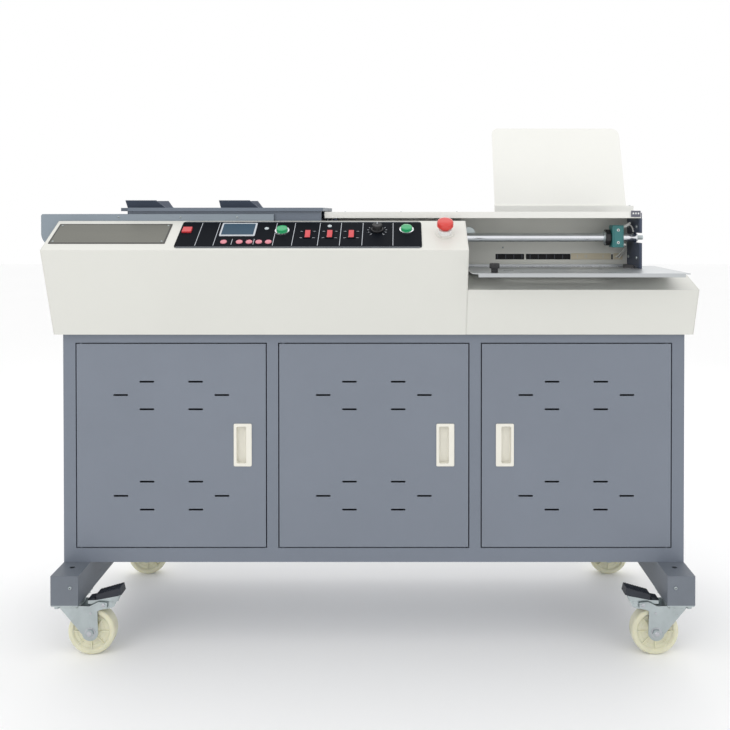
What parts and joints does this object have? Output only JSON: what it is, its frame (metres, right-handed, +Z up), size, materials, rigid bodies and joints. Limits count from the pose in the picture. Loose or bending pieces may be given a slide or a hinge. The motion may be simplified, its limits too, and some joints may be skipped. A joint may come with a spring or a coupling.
{
  "type": "perfect binding machine",
  "caption": "Floor-standing perfect binding machine: sliding book clamp, milling and glue station, nip and cover table over a three-door cabinet on casters.",
  "frame": {"origin": "on the floor, under the middle of the whole machine's outline", "axes": "+X to the operator's right along the machine, +Y away from the operator, +Z up"},
  "size_m": [1.42, 0.55, 1.1608],
  "materials": {
    "cabinet": "fine satin powder coat",
    "skid": "satin powder coat",
    "zinc": "bright zinc plate",
    "bed": "dark primer",
    "cream": "cream powder coat",
    "hood": "grey-blue powder coat",
    "dark_frame": "dark blue-grey paint",
    "tray": "brushed sheet",
    "shaft": "hard chrome, ground",
    "sensor": "teal moulded plastic",
    "wire": "white cable sheath",
    "nameplate": "dull brushed plate",
    "panel": "dark printed overlay",
    "display": "dark screen in a white frame",
    "black": "black moulded plastic",
    "motor": "dark grey machine paint",
    "pull": "cream moulded plastic",
    "wheel": "translucent cream nylon",
    "rubber": "black rubber on a zinc lever",
    "red": "red moulded plastic",
    "pink": "pink soft key",
    "green": "green translucent lens",
    "carriage": "grey-blue paint",
    "steel": "ground steel"
  },
  "bodies": {
    "frame": {"cabinet_frame": "cabinet", "cabinet_shell": "cabinet", "skids": "skid", "caster_plates": "zinc", "bed_plate": "bed", "front_fascia": "cream", "right_fascia": "cream", "end_panels": "cream", "rear_cover": "cream", "hood": "hood", "cover_table": "cream", "table_frame": "dark_frame", "recess_wall": "cream", "delivery_tray": "tray", "guide_shafts": "shaft", "end_sensor": "sensor", "sensor_wires": "wire", "nameplate": "nameplate", "control_panel": "panel", "display": "display", "back_board": "cream", "mains_inlet": "black", "glue_tank": "tray", "motors": "motor"},
    "door_left": {"door_left": "cabinet", "pull_left": "pull"},
    "door_middle": {"door_middle": "cabinet", "pull_middle": "pull"},
    "door_right": {"door_right": "cabinet", "pull_right": "pull"},
    "fork_front_left": {"fork_front_left": "zinc"},
    "fork_front_right": {"fork_front_right": "zinc"},
    "fork_rear_left": {"fork_rear_left": "zinc"},
    "fork_rear_right": {"fork_rear_right": "zinc"},
    "wheel_front_left": {"wheel_front_left": "wheel"},
    "wheel_front_right": {"wheel_front_right": "wheel"},
    "wheel_rear_left": {"wheel_rear_left": "wheel"},
    "wheel_rear_right": {"wheel_rear_right": "wheel"},
    "brake_pedal_left": {"brake_pedal_left": "rubber"},
    "brake_pedal_right": {"brake_pedal_right": "rubber"},
    "menu_button_1": {"menu_button_1": "pink"},
    "menu_button_2": {"menu_button_2": "pink"},
    "menu_button_3": {"menu_button_3": "pink"},
    "menu_button_4": {"menu_button_4": "pink"},
    "menu_button_5": {"menu_button_5": "pink"},
    "mode_switch_1": {"mode_switch_1": "red"},
    "mode_switch_2": {"mode_switch_2": "red"},
    "mode_switch_3": {"mode_switch_3": "red"},
    "glue_roller_1": {"glue_roller_1": "steel"},
    "glue_roller_2": {"glue_roller_2": "steel"},
    "power_button": {"power_button": "red"},
    "start_button": {"start_button": "green"},
    "reset_button": {"reset_button": "green"},
    "speed_knob": {"speed_knob": "black"},
    "emergency_stop": {"emergency_stop": "red"},
    "carriage": {"carriage": "carriage"},
    "moving_jaw": {"moving_jaw": "carriage"},
    "mill_cutter": {"mill_cutter": "steel"},
    "nip_table": {"nip_table": "steel"},
    "tray_knob": {"tray_knob": "black"}
  },
  "joints": [
    {"name": "door_left_hinge", "type": "hinge", "parent": "frame", "child": "door_left", "pos_m": [-0.618, -0.154, 0.4365], "axis": [0, 0, -1], "range_deg": [0, 110]},
    {"name": "door_middle_hinge", "type": "hinge", "parent": "frame", "child": "door_middle", "pos_m": [-0.1775, -0.154, 0.4365], "axis": [0, 0, -1], "range_deg": [0, 110]},
    {"name": "door_right_hinge", "type": "hinge", "parent": "frame", "child": "door_right", "pos_m": [0.658, -0.154, 0.4365], "axis": [0, 0, 1], "range_deg": [0, 110]},
    {"name": "swivel_front_left", "type": "hinge", "parent": "frame", "child": "fork_front_left", "pos_m": [-0.626, -0.188, 0.11], "axis": [0, 0, 1], "range_deg": [-20, 20]},
    {"name": "spin_front_left", "type": "hinge", "parent": "fork_front_left", "child": "wheel_front_left", "pos_m": [-0.5815, -0.188, 0.05], "axis": [0, 1, 0], "continuous": true},
    {"name": "brake_left", "type": "hinge", "parent": "fork_front_left", "child": "brake_pedal_left", "pos_m": [-0.553, -0.188, 0.109], "axis": [0, 1, 0], "range_deg": [0, 18]},
    {"name": "swivel_front_right", "type": "hinge", "parent": "frame", "child": "fork_front_right", "pos_m": [0.666, -0.188, 0.11], "axis": [0, 0, 1], "range_deg": [-20, 20]},
    {"name": "spin_front_right", "type": "hinge", "parent": "fork_front_right", "child": "wheel_front_right", "pos_m": [0.6215, -0.188, 0.05], "axis": [0, 1, 0], "continuous": true},
    {"name": "brake_right", "type": "hinge", "parent": "fork_front_right", "child": "brake_pedal_right", "pos_m": [0.593, -0.188, 0.109], "axis": [0, -1, 0], "range_deg": [0, 18]},
    {"name": "swivel_rear_left", "type": "hinge", "parent": "frame", "child": "fork_rear_left", "pos_m": [-0.626, 0.228, 0.11], "axis": [0, 0, 1], "continuous": true},
    {"name": "spin_rear_left", "type": "hinge", "parent": "fork_rear_left", "child": "wheel_rear_left", "pos_m": [-0.5815, 0.228, 0.05], "axis": [0, 1, 0], "continuous": true},
    {"name": "swivel_rear_right", "type": "hinge", "parent": "frame", "child": "fork_rear_right", "pos_m": [0.666, 0.228, 0.11], "axis": [0, 0, 1], "continuous": true},
    {"name": "spin_rear_right", "type": "hinge", "parent": "fork_rear_right", "child": "wheel_rear_right", "pos_m": [0.6215, 0.228, 0.05], "axis": [0, 1, 0], "continuous": true},
    {"name": "power_button_press", "type": "slide", "parent": "frame", "child": "power_button", "axis": [0, 0.5033, -0.8641], "range_m": [0, 0.003], "stiffness_N_per_m": 300, "springref_m": -0.002},
    {"name": "menu_button_1_press", "type": "slide", "parent": "frame", "child": "menu_button_1", "axis": [0, 0.5033, -0.8641], "range_m": [0, 0.0015], "stiffness_N_per_m": 200, "springref_m": -0.002},
    {"name": "menu_button_2_press", "type": "slide", "parent": "frame", "child": "menu_button_2", "axis": [0, 0.5033, -0.8641], "range_m": [0, 0.0015], "stiffness_N_per_m": 200, "springref_m": -0.002},
    {"name": "menu_button_3_press", "type": "slide", "parent": "frame", "child": "menu_button_3", "axis": [0, 0.5033, -0.8641], "range_m": [0, 0.0015], "stiffness_N_per_m": 200, "springref_m": -0.002},
    {"name": "menu_button_4_press", "type": "slide", "parent": "frame", "child": "menu_button_4", "axis": [0, 0.5033, -0.8641], "range_m": [0, 0.0015], "stiffness_N_per_m": 200, "springref_m": -0.002},
    {"name": "menu_button_5_press", "type": "slide", "parent": "frame", "child": "menu_button_5", "axis": [0, 0.5033, -0.8641], "range_m": [0, 0.0015], "stiffness_N_per_m": 200, "springref_m": -0.002},
    {"name": "start_button_press", "type": "slide", "parent": "frame", "child": "start_button", "axis": [0, 0.5033, -0.8641], "range_m": [0, 0.003], "stiffness_N_per_m": 300, "springref_m": -0.002},
    {"name": "reset_button_press", "type": "slide", "parent": "frame", "child": "reset_button", "axis": [0, 0.5033, -0.8641], "range_m": [0, 0.003], "stiffness_N_per_m": 300, "springref_m": -0.002},
    {"name": "mode_switch_1_rock", "type": "hinge", "parent": "frame", "child": "mode_switch_1", "pos_m": [-0.12, -0.19315, 0.8952], "axis": [1, 0, 0], "range_deg": [-20, 0]},
    {"name": "mode_switch_2_rock", "type": "hinge", "parent": "frame", "child": "mode_switch_2", "pos_m": [-0.073, -0.19315, 0.8952], "axis": [1, 0, 0], "range_deg": [-20, 0]},
    {"name": "mode_switch_3_rock", "type": "hinge", "parent": "frame", "child": "mode_switch_3", "pos_m": [-0.027, -0.19315, 0.8952], "axis": [1, 0, 0], "range_deg": [-20, 0]},
    {"name": "speed_knob_turn", "type": "hinge", "parent": "frame", "child": "speed_knob", "pos_m": [0.028, -0.17847, 0.90376], "axis": [0, -0.5033, 0.8641], "range_deg": [-140, 140]},
    {"name": "emergency_stop_press", "type": "slide", "parent": "frame", "child": "emergency_stop", "axis": [0, 0.5033, -0.8641], "range_m": [0, 0.005], "stiffness_N_per_m": 400, "springref_m": -0.004},
    {"name": "carriage_travel", "type": "slide", "parent": "frame", "child": "carriage", "axis": [1, 0, 0], "range_m": [0, 0.64]},
    {"name": "jaw_close", "type": "slide", "parent": "carriage", "child": "moving_jaw", "axis": [0, -1, 0], "range_m": [0, 0.058]},
    {"name": "glue_roller_1_spin", "type": "hinge", "parent": "frame", "child": "glue_roller_1", "pos_m": [-0.004, 0.037, 0.872], "axis": [0, 1, 0], "continuous": true},
    {"name": "glue_roller_2_spin", "type": "hinge", "parent": "frame", "child": "glue_roller_2", "pos_m": [0.049, 0.037, 0.872], "axis": [0, 1, 0], "continuous": true},
    {"name": "mill_spin", "type": "hinge", "parent": "frame", "child": "mill_cutter", "pos_m": [-0.085, 0.036, 0.89], "axis": [0, 0, 1], "continuous": true},
    {"name": "nip_rise", "type": "slide", "parent": "frame", "child": "nip_table", "axis": [0, 0, 1], "range_m": [0, 0.01]},
    {"name": "tray_knob_turn", "type": "hinge", "parent": "frame", "child": "tray_knob", "pos_m": [0.272, -0.252, 0.819], "axis": [0, 0, 1], "range_deg": [0, 360]}
  ],
  "couplings": [
    {"joint": "glue_roller_2_spin", "follows": "glue_roller_1_spin", "ratio": 1}
  ]
}
